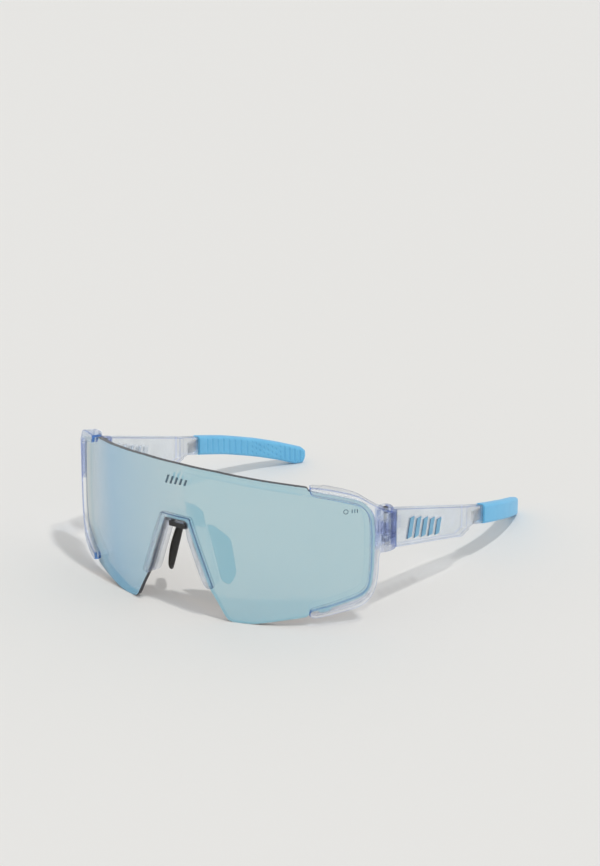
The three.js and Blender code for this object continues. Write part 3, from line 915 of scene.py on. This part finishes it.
def tip_relief():
    """Clears the part behind the lens at a top hook's tip, so that it stays below the lens."""
    side = [(50.0, 54.2), (56.0, 54.2), (61.0, 57.5), (50.0, 60.0)]
    return prism(side, FRAME_REAR - 1, GROOVE_REAR)


def make_front_frame(plastic):
    left_hook = cut(hook(), tip_relief())
    right_hook = mirrored(left_hook)
    flat = join(left_hook, right_hook, brow_bar(), bridge_saddle())
    whole = bent(flat, onto_lens)
    lug = hinge_lug()
    whole = join(whole, mirrored(lug), lug)
    tools = [*fork_cuts(), swing_space()]
    whole = cut(whole, *[mirrored(tool) for tool in tools], *tools)
    finish_piece(whole, "clear_frame", "front", ["front_frame"], [plastic])


# ---- Nose clip, strap and pads ----


def make_nose_clip(plastic):
    half = CLIP_OUTER_HALF + CLIP_INNER_HALF
    whole = half + mirrored_path(half)
    band = prism(smoothed(whole, 1.8), CLIP_REAR, CLIP_FRONT, 0.5, 0.5)
    behind_lip = prism(lens_outline(FIT_GAP), CLIP_REAR - 1, FIT_GAP)
    clip = bent(cut(band, behind_lip), onto_lens)
    finish_piece(clip, "bridge_clip", "front", ["nose_clip"], [plastic])


def strap_arch():
    """The thin arch that stands on the strap, behind the saddle."""
    half = [(4.6, 42.2), (8.4, 40.2), (9.6, 34.4), (3.0, 34.4), (3.0, 38.5)]
    plate = prism(smoothed(half + mirrored_path(half), 0.8, 2), ARCH_REAR, ARCH_FRONT, 0.3, 0.3)
    return bent(plate, onto_lens)


def make_nose_strap(material):
    """A U in plan: the bar across the clip and the two arms that carry the pads."""
    half = [
        (0.0, STRAP_FRONT_Y), (ARM_OUTER - 0.4, STRAP_FRONT_Y), (ARM_OUTER, STRAP_BACK_Y),
        (ARM_OUTER, FLARE_START_Y), (ARM_END_OUTER, ARM_END_Y), (ARM_END_INNER, ARM_END_Y),
        (ARM_INNER, FLARE_START_Y + 0.6), (ARM_INNER, STRAP_BACK_Y), (0.0, STRAP_BACK_Y),
    ]
    whole = half + mirrored_path(half[1:-1])
    strap = prism(smoothed(whole, 0.6, 2), STRAP_BOTTOM, STRAP_TOP, 0.4, 0.4)
    strap = join(strap, strap_arch())
    finish_piece(
        strap, "bridge_strap", "front", ["nose_strap"], [material], 45
    )


PAD_OUTLINE = [(-4.4, PAD_HALF_LENGTH), (-1.2, 11.6), (4.4, 6.0), (5.4, -8.0), (2.4, -12.2), (-1.0, -9.6)]


def pillowed(points):
    """The flat pad thinned towards both ends, with its middle bowed outward."""
    middle_share = 1.25
    end_loss = 0.75
    middle_out = 0.35
    bow = 0.9
    across, up, out = points.T
    towards_end = np.clip(up / PAD_HALF_LENGTH, -1, 1) ** 2
    thinned = out * (middle_share - end_loss * towards_end)
    return np.stack([across, up, thinned + middle_out - bow * towards_end], axis=1)


def make_nose_pads(material):
    half = PAD_THICKNESS / 2
    pad = prism(smoothed(PAD_OUTLINE, 3.2), -half, half, 1.0, 1.2, 6)
    cut_by_planes(pad, 0, 1.0)
    cut_by_planes(pad, 1, 1.0)
    place(pad, pillowed)
    place(pad, onto_pad)
    pair = finish_pair(
        pad, "soft_pad", "nose_pad", "nose_pad", [material], 60
    )


# ---- Hinge hardware ----


def make_screws(material):
    pitch = 0.42
    thread = 0.06
    head_bottom = SCREW_TOP - SCREW_HEAD_HEIGHT
    profile = [(0.05, SCREW_BOTTOM), (SCREW_SHAFT_RADIUS - 0.25, SCREW_BOTTOM)]
    height = SCREW_BOTTOM + 0.3
    while height < TONGUE_BOTTOM - 0.2:
        profile.append((SCREW_SHAFT_RADIUS - thread, height))
        profile.append((SCREW_SHAFT_RADIUS, height + pitch / 2))
        height += pitch
    profile += [
        (SCREW_SHAFT_RADIUS, head_bottom - 0.1), (SCREW_SHAFT_RADIUS + 0.1, head_bottom),
        (SCREW_HEAD_RADIUS - 0.05, head_bottom), (SCREW_HEAD_RADIUS, head_bottom + 0.1),
        (SCREW_HEAD_RADIUS, SCREW_TOP - 0.4), (SCREW_HEAD_RADIUS - 0.12, SCREW_TOP - 0.16),
        (SCREW_HEAD_RADIUS - 0.4, SCREW_TOP - 0.02), (0.05, SCREW_TOP),
    ]
    rings = [
        np.array([(x, y, level) for x, y in circle(HINGE_X, HINGE_Y, radius, 32)])
        for radius, level in profile
    ]
    recess = (SCREW_TOP - 0.6, SCREW_TOP + 1)
    long_way = (-0.9, 0.9)
    narrow = (-0.16, 0.16)
    across = [HINGE_X + value for value in long_way], [HINGE_Y + value for value in narrow]
    along = [HINGE_X + value for value in narrow], [HINGE_Y + value for value in long_way]
    screw = cut(loft(rings), box(*across, recess), box(*along, recess))
    finish_pair(screw, "fold_screw", "front", "hinge_screw", [material], 40)


def make_nuts(material):
    nut = post(NUT_RADIUS, NUT_BOTTOM, NUT_TOP, 6, 0.12)
    bore = post(SCREW_SHAFT_RADIUS + 0.05, NUT_BOTTOM - 1, NUT_TOP + 1, 32)
    finish_pair(cut(nut, bore), "fold_nut", "front", "hinge_nut", [material])


# ---- Temples ----


def badge_bar(index, grown, low, high, rounded_by):
    x = BADGE_FIRST + index * BADGE_PITCH
    middle = BADGE_CENTRE - (x - BADGE_FIRST) * BADGE_FALL
    half = (BADGE_TALLEST - index * BADGE_SHRINK) / 2
    lean = BADGE_SLANT * half / BADGE_TALLEST
    width = BADGE_BAR_WIDTH / 2 + grown
    half += grown
    bar = [
        (x - width - lean, middle - half), (x + width - lean, middle - half),
        (x + width + lean, middle + half), (x - width + lean, middle + half),
    ]
    return prism(smoothed(bar, 0.4, 2), low, high, 0.0, rounded_by, 3)


def badge_row(grown, low, high, rounded_by=0.0):
    """The badge's five bars in the flat, each grown outward by a margin."""
    return join(
        *[badge_bar(index, grown, low, high, rounded_by) for index in range(BADGE_BARS)]
    )


def make_badges(face_paint, shaded_side_paint, back_paint):
    """Five bars in one row. The part of each that is sunk in the panel is pale, and the bars' walls are
    painted a darker blue as shade.
    """
    badge = badge_row(0.0, BADGE_LOW, BADGE_HIGH, 0.2)
    cut_by_planes(badge, 2, BADGE_HIGH)
    badge.data.materials.clear()
    for paint in (face_paint, shaded_side_paint, back_paint):
        badge.data.materials.append(paint)
    for face in badge.data.polygons:
        if face.center.z < 0:
            face.material_index = 2
        else:
            # the walls get the darker blue: painted shade
            face.material_index = 0 if face.normal.z > 0.6 else 1
    place(badge, onto_temple)
    finish_pair(badge, "panel_badge", "temple", "badge", [])


def make_anchors(material):
    """The flat steel comb in the stem, with its teeth up."""
    pitch = (ANCHOR_END - ANCHOR_START - 0.6) / ANCHOR_TEETH
    comb = [(ANCHOR_END, ANCHOR_LOW), (ANCHOR_END, ANCHOR_HIGH)]
    for tooth in reversed(range(ANCHOR_TEETH)):
        x = ANCHOR_START + tooth * pitch
        comb.append((x + pitch * 0.9, ANCHOR_HIGH))
        comb.append((x + pitch * 0.5, ANCHOR_LOW + 1.6))
        comb.append((x + pitch * 0.1, ANCHOR_HIGH))
    comb.append((ANCHOR_START, ANCHOR_LOW))
    low = ANCHOR_MIDDLE - CORE_HALF_THICKNESS
    high = ANCHOR_MIDDLE + CORE_HALF_THICKNESS
    anchor = bent(prism(smoothed(comb, 0.2, 1), low, high, 0.08, 0.08, 2), onto_temple, 2.0, None)
    finish_pair(anchor, "core_comb", "temple", "core_anchor", [material])


def anchor_pocket():
    half = CORE_HALF_THICKNESS + SMALL_GAP
    start = ANCHOR_START - SMALL_GAP
    end = STEM_END + 1
    low = ANCHOR_LOW - SMALL_GAP
    high = ANCHOR_HIGH + SMALL_GAP
    pocket = [(start, low), (end, low), (end, high), (start, high)]
    return prism(pocket, ANCHOR_MIDDLE - half, ANCHOR_MIDDLE + half)


def temple_panel():
    """The thick front panel, with a bevel where it drops to the stem."""
    side = [
        (BUTT_Y, PANEL_FRONT_LOW), (-5.6, 20.1), (8.8, 16.6), (PANEL_END, 18.0),
        (PANEL_END, 27.3), (-6.0, 33.5), (BUTT_Y, LUG_TOP),
    ]
    start = PANEL_END - 1
    end = PANEL_END + 1
    bevel = [(1, start), (1, end), (STEM_OUTER, end), (STEM_OUTER, PANEL_END), (0, start)]
    panel = prism(smoothed(side, 0.9, 2), -PANEL_THICKNESS, 0.0, 0.6, 0.6)
    return cut(panel, place(prism(bevel, 5, 45), plan_to_temple))


def temple_stem():
    start = PANEL_END - 3
    side = [(start, 17.6), (17.6, 18.6), (STEM_END, 16.7), (STEM_END, 24.3), (start, 28.2)]
    return prism(smoothed(side, 0.6, 2), STEM_INNER, STEM_OUTER, 0.4, 0.4)


def hinge_tongue():
    plan = [
        (HINGE_X - KNUCKLE_RADIUS, HINGE_Y), (HINGE_X + 4, HINGE_Y - 0.1),
        (TEMPLE_OUTER_X - 0.8, HINGE_Y + 1), (TEMPLE_OUTER_X - 0.8, HINGE_Y + 10),
        (TEMPLE_OUTER_X - PANEL_THICKNESS + 0.3, HINGE_Y + 10), (HINGE_X + 0.6, HINGE_Y + 6),
    ]
    web = prism(plan, TONGUE_BOTTOM, TONGUE_TOP)
    return join(web, post(KNUCKLE_RADIUS, TONGUE_BOTTOM, TONGUE_TOP, 48))


def make_temples(plastic):
    arm = join(temple_panel(), temple_stem())
    arm = cut(arm, badge_row(SMALL_GAP, BADGE_SEAT_LOW, 1.0), anchor_pocket())
    arm = bent(arm, onto_temple, 2.0, None)
    relief_above = post(KNUCKLE_RELIEF, TONGUE_TOP, LUG_TOP + 2)
    relief_below = post(KNUCKLE_RELIEF, LUG_BOTTOM - 2, TONGUE_BOTTOM)
    arm = join(cut(arm, relief_above, relief_below), hinge_tongue())
    bore = post(SCREW_SHAFT_RADIUS + SMALL_GAP, TONGUE_BOTTOM - 1, TONGUE_TOP + 1, 32)
    finish_pair(cut(arm, bore), "clear_arm", "temple", "temple", [plastic])


# ---- Rubber tips ----

SLEEVE_OUTLINE = [
    (SLEEVE_START, 16.3), (42.0, 12.0), (60.0, 6.7), (71.0, 3.1), (79.2, 0.0), (82.8, 0.0),
    (84.5, 2.1), (84.6, 5.0), (82.9, 6.6), (71.0, 11.0), (60.0, 14.7), (42.0, 20.1),
    (SLEEVE_START, 24.6),
]


def sleeve_heights(outline, along):
    """The lowest and highest point of the outline at one place along the sleeve."""
    crossings = []
    for (x0, y0), (x1, y1) in zip(outline, outline[1:] + outline[:1]):
        if min(x0, x1) <= along <= max(x0, x1) and x0 != x1:
            crossings.append(y0 + (along - x0) / (x1 - x0) * (y1 - y0))
    return min(crossings), max(crossings)


def rounded_ring(half_out, half_up, radius):
    """A rounded rectangle, as (outward, up) points; its inner face comes first."""
    corner_steps = 6
    side_steps = 14
    radius = min(radius, half_out * 0.98, half_up * 0.98)
    x, y = half_out - radius, half_up - radius
    inner = [(-half_out, y * (1 - 2 * k / side_steps)) for k in range(side_steps)]
    points = inner
    for centre_x, centre_y, start in ((-x, -y, 180), (x, -y, 270), (x, y, 0), (-x, y, 90)):
        for k in range(corner_steps + 1):
            angle = math.radians(start + 90 * k / corner_steps)
            points.append(
                (centre_x + radius * math.cos(angle), centre_y + radius * math.sin(angle))
            )
    return np.array(points[:-1])


RIB_PITCH = 3.4
RIB_START = 28.5
RIB_END = RIB_START + 8 * RIB_PITCH
DOT_END = 72.5
TIP_RIB_END = 82.5
GROOVE_DEPTH = 0.4


def groove(along, pitch, share):
    """How deep a run of grooves is here, from 0 to 1."""
    phase = (along / pitch) % 1.0
    inside = np.clip((share - np.abs(phase - 0.5) * 2) / share, 0, 1)
    return inside * inside * (3 - 2 * inside)


def rib_depth(along, up):
    """The pressed pattern on a sleeve's inner face: ribs, short broken ribs, ribs."""
    if RIB_START < along < RIB_END:
        return groove(along - RIB_START, RIB_PITCH, 0.45)
    if RIB_END <= along < DOT_END:
        return groove(along - RIB_END, 2.1, 0.6) * groove(up + 0.35 * along, 2.4, 0.7)
    if DOT_END <= along < TIP_RIB_END:
        return groove(along - DOT_END, 2.5, 0.5)
    return 0.0 * up


def make_sleeves(material):
    outline = [tuple(point) for point in smoothed(SLEEVE_OUTLINE, 0.9, 3)]
    first = min(x for x, _ in outline) + 0.01
    last = max(x for x, _ in outline) - 0.01
    middle = SLEEVE_INNER / 2
    tip_length = 1.7
    start_length = 0.5
    start_round = 0.3
    edge_round = 1.4
    flat_margin = 0.7
    rings = []
    for along in np.linspace(first, last, 260):
        low, high = sleeve_heights(outline, along)
        to_tip = np.clip((along - (last - tip_length)) / tip_length, 0, 0.97)
        from_start = np.clip((first + start_length - along) / start_length, 0, 1)
        half_out = -middle * math.sqrt(1 - to_tip**2) - start_round * from_start**2
        half_up = (high - low) / 2 - start_round * from_start**2
        ring = rounded_ring(half_out, half_up, edge_round)
        outward, up = ring.T.copy()
        flat = np.clip((half_up - flat_margin - np.abs(up)) / flat_margin, 0, 1)
        on_inner_face = outward < -half_out + 0.05
        depth = rib_depth(along, up) * flat * on_inner_face * GROOVE_DEPTH
        rings.append(
            np.stack(
                [
                    np.full(len(ring), along),
                    (low + high) / 2 + up,
                    middle + outward + depth,
                ],
                axis=1,
            )
        )
    sleeve = place(loft(rings), onto_temple)
    finish_pair(sleeve, "grip_sleeve", "tip", "sleeve", [material], 60)


# ---- Small generic marks on the lens ----


MARK_LOW = -0.02
MARK_HIGH = 0.06


def mark_bar(index):
    """One slanted bar of the row near the lens's top middle."""
    x = -4.4 + index * 2.1
    middle = 53.0
    half = 1.7 - index * 0.13
    lean = half * 0.35
    width = 0.9
    bar = [
        (x - lean, middle - half), (x + width - lean, middle - half),
        (x + width + lean, middle + half), (x + lean, middle + half),
    ]
    return prism(bar, MARK_LOW, MARK_HIGH)


def mark_ring(x, z):
    disc = prism(circle(x, z, 0.95, 32), MARK_LOW, MARK_HIGH)
    return cut(disc, prism(circle(x, z, 0.72, 32), -1, 1))


def make_lens_marks(ink):
    """A row of plain slanted bars at the top middle; a ring and dashes near one corner."""
    bars = [mark_bar(index) for index in range(5)]
    dash_width = 0.35
    dash_heights = (45.4, 46.9)
    dashes = [
        box((x, x + dash_width), dash_heights, (MARK_LOW, MARK_HIGH)) for x in (69.0, 70.0, 71.0)
    ]
    marks = bent(join(*bars, mark_ring(66.8, 46.1), *dashes), onto_lens, 1.0, 1.5)
    finish_piece(marks, "lens_marks", "front", [], [ink])


# ---- Hidden wire cores, kept from the CAD model ----


def dress_cores(material):
    for name, node in frame["nodes"].items():
        if name.endswith("core") or "_core_" in name:
            node.data.materials.clear()
            node.data.materials.append(material)


# ---- Stage, light and camera ----

CAMERA_PLACE = Vector((646.0, -948.4, 464.8)) * MM
CAMERA_AZIMUTH = 34.2365
CAMERA_ELEVATION = 19.989
CAMERA_LENS = 128.76
TO_KEY_LIGHT = Vector((0.5, -0.18, 1.0)).normalized()


def direction(azimuth, elevation):
    """Towards a viewer at this bearing; azimuth 0 is in front of the wearer."""
    a, e = math.radians(azimuth), math.radians(elevation)
    return Vector((math.sin(a) * math.cos(e), -math.cos(a) * math.cos(e), math.sin(e)))


def make_camera():
    camera = bpy.data.objects.new("camera", bpy.data.cameras.new("camera"))
    bpy.context.scene.collection.objects.link(camera)
    camera.location = CAMERA_PLACE
    camera.rotation_mode = "QUATERNION"
    look = -direction(CAMERA_AZIMUTH, CAMERA_ELEVATION)
    camera.rotation_quaternion = look.to_track_quat("-Z", "Y")
    camera.data.lens = CAMERA_LENS
    camera.data.clip_end = 50
    bpy.context.scene.camera = camera


def make_floor():
    reach = 5000
    floor = solid(
        [(-reach, -reach, 0), (reach, -reach, 0), (reach, reach, 0), (-reach, reach, 0)],
        [[0, 1, 2, 3]],
    )
    place(floor, lambda points: points * MM)
    floor.name = "floor"
    floor.data.materials.append(floor_material())


def make_key_light():
    light = bpy.data.lights.new("key", "SUN")
    light.angle = math.radians(2.6)
    light.energy = 1.06
    light.color = (1.0, 0.985, 0.955)
    key = bpy.data.objects.new("key", light)
    bpy.context.scene.collection.objects.link(key)
    key.location = TO_KEY_LIGHT
    key.rotation_mode = "QUATERNION"
    key.rotation_quaternion = TO_KEY_LIGHT.to_track_quat("Z", "Y")


def make_surroundings():
    """An even pale room: brighter low down, with a darker side behind the camera."""
    world = bpy.data.worlds.new("room")
    bpy.context.scene.world = world
    nodes = Nodes(world)
    where = nodes.add("ShaderNodeTexCoord")
    parts = nodes.add("ShaderNodeSeparateXYZ", {"Vector": where.outputs["Generated"]})
    height = nodes.spread(parts.outputs["Z"], 0.92, 0.66, 0.15, 0.6)
    behind = tuple(direction(CAMERA_AZIMUTH, 45))
    towards = nodes.vectors("DOT_PRODUCT", where.outputs["Generated"], behind, "Value")
    darker = nodes.spread(towards, 1.0, 0.7, 0.8, 0.95)
    strength = nodes.maths("MULTIPLY", height, darker)
    light = nodes.add(
        "ShaderNodeBackground", {"Color": (1.0, 1.0, 0.995, 1), "Strength": strength}
    )
    nodes.add("ShaderNodeOutputWorld", {"Surface": light.outputs["Background"]})
    bpy.context.scene.view_settings.view_transform = "Standard"


# ---- The whole ----


def make_glasses():
    light_shadow = (0.80, 0.80, 0.81, 1)
    grey_shadow = (0.60, 0.60, 0.61, 1)
    # where deep blue is painted for light seen lengthwise through the plastic
    painted_blue_parts = (lug_seen_edge_on, hook_ends)
    # painted dark reflection, as outlines on the clear plastics' rounded edges
    pale_painted_outline = (0.54, 0.60, 0.84, 1)
    dark_painted_outline = (0.24, 0.30, 0.48, 1)
    frame_plastic = clear_plastic(
        "frame_plastic", 12, light_shadow, pale_painted_outline, curved=True, painted_blue_parts=painted_blue_parts
    )
    arm_plastic = clear_plastic("arm_plastic", 12, grey_shadow, pale_painted_outline)
    clip_plastic = clear_plastic("clip_plastic", 25, grey_shadow, dark_painted_outline, curved=True)
    black = rubber("black_rubber", (0.012, 0.012, 0.011, 1), (0.028, 0.027, 0.025, 1), 5200, 0.6, 0.1)
    blue = rubber("blue_rubber", (0.14, 0.49, 0.80, 1), (0.16, 0.53, 0.84, 1), 4200, 0.58, 0.12)
    steel = metal("core_steel", (0.42, 0.44, 0.47, 1), (0.62, 0.64, 0.68, 1), 0.35, (1, 1, 0.1))
    screw = metal("screw_steel", (0.10, 0.105, 0.115, 1), (0.24, 0.25, 0.27, 1), 0.35, (1, 1, 4))
    bright = metal("nut_steel", (0.56, 0.58, 0.62, 1), (0.74, 0.76, 0.80, 1), 0.3, (1, 1, 4))
    face_paint = painted("badge_face", colour(110, 168, 202), colour(124, 180, 212))
    # painted shade: the bars' walls in a darker copy of the face's blue
    shaded_side_paint = painted("badge_side_painted_shade", colour(40, 88, 128), colour(52, 104, 146))
    back_paint = painted("badge_back", colour(214, 222, 230), colour(226, 232, 238))
    ink = painted("mark_ink", colour(70, 92, 106), colour(84, 108, 122))

    make_lens()
    make_front_frame(frame_plastic)
    make_nose_clip(clip_plastic)
    make_nose_strap(black)
    make_nose_pads(black)
    make_screws(screw)
    make_nuts(bright)
    make_temples(arm_plastic)
    make_badges(face_paint, shaded_side_paint, back_paint)
    make_anchors(steel)
    make_sleeves(blue)
    make_lens_marks(ink)
    dress_cores(steel)


make_glasses()
make_floor()
make_key_light()
make_surroundings()
make_camera()
